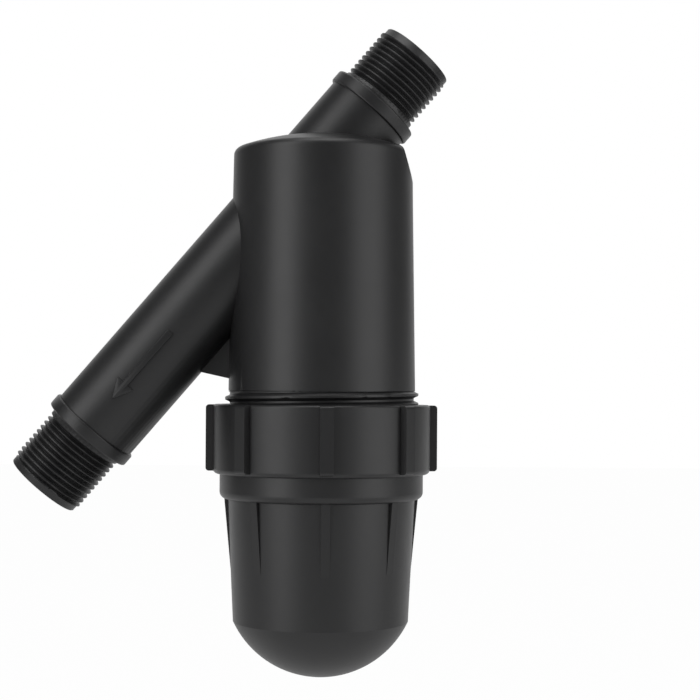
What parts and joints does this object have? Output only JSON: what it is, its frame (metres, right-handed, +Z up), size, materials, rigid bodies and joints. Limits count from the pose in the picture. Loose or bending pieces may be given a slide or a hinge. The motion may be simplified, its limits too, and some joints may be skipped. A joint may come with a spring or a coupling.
{
  "type": "screen filter",
  "caption": "Inline screen filter: upright chamber with a slanted male-threaded inlet and outlet in one line, a screw-on bowl and a pull-out screen cartridge.",
  "frame": {"origin": "centre of the inlet port at the collar's outer face, where a fitting stops", "axes": "+Z up along the chamber, +X from the chamber towards the inlet, +Y away from the viewer of the picture"},
  "size_m": [0.1748, 0.0938, 0.2623],
  "materials": {
    "black_moulding": "satin",
    "red_moulding": "satin",
    "steel_gauze": "woven",
    "black_rubber": "matt"
  },
  "bodies": {
    "housing": {"housing": "black_moulding"},
    "cartridge": {"cartridge_frame": "red_moulding", "mesh_screen": "steel_gauze", "top_o_ring": "black_rubber", "bottom_o_ring": "black_rubber"},
    "gasket": {"bowl_gasket": "black_rubber"},
    "bowl": {"bowl": "black_moulding"}
  },
  "joints": [
    {"name": "cartridge_draw", "type": "slide", "parent": "housing", "child": "cartridge", "axis": [0, 0, -1], "range_m": [0, 0.14]},
    {"name": "bowl_travel", "type": "slide", "parent": "cartridge", "child": "gasket", "axis": [0, 0, -1], "range_m": [0, 0.024]},
    {"name": "bowl_turn", "type": "hinge", "parent": "gasket", "child": "bowl", "pos_m": [-0.02126, 0, -0.02472], "axis": [0, 0, -1], "range_deg": [0, 2160]}
  ],
  "couplings": [
    {"joint": "bowl_travel", "follows": "bowl_turn", "m_per_rad": 0.00063662}
  ]
}
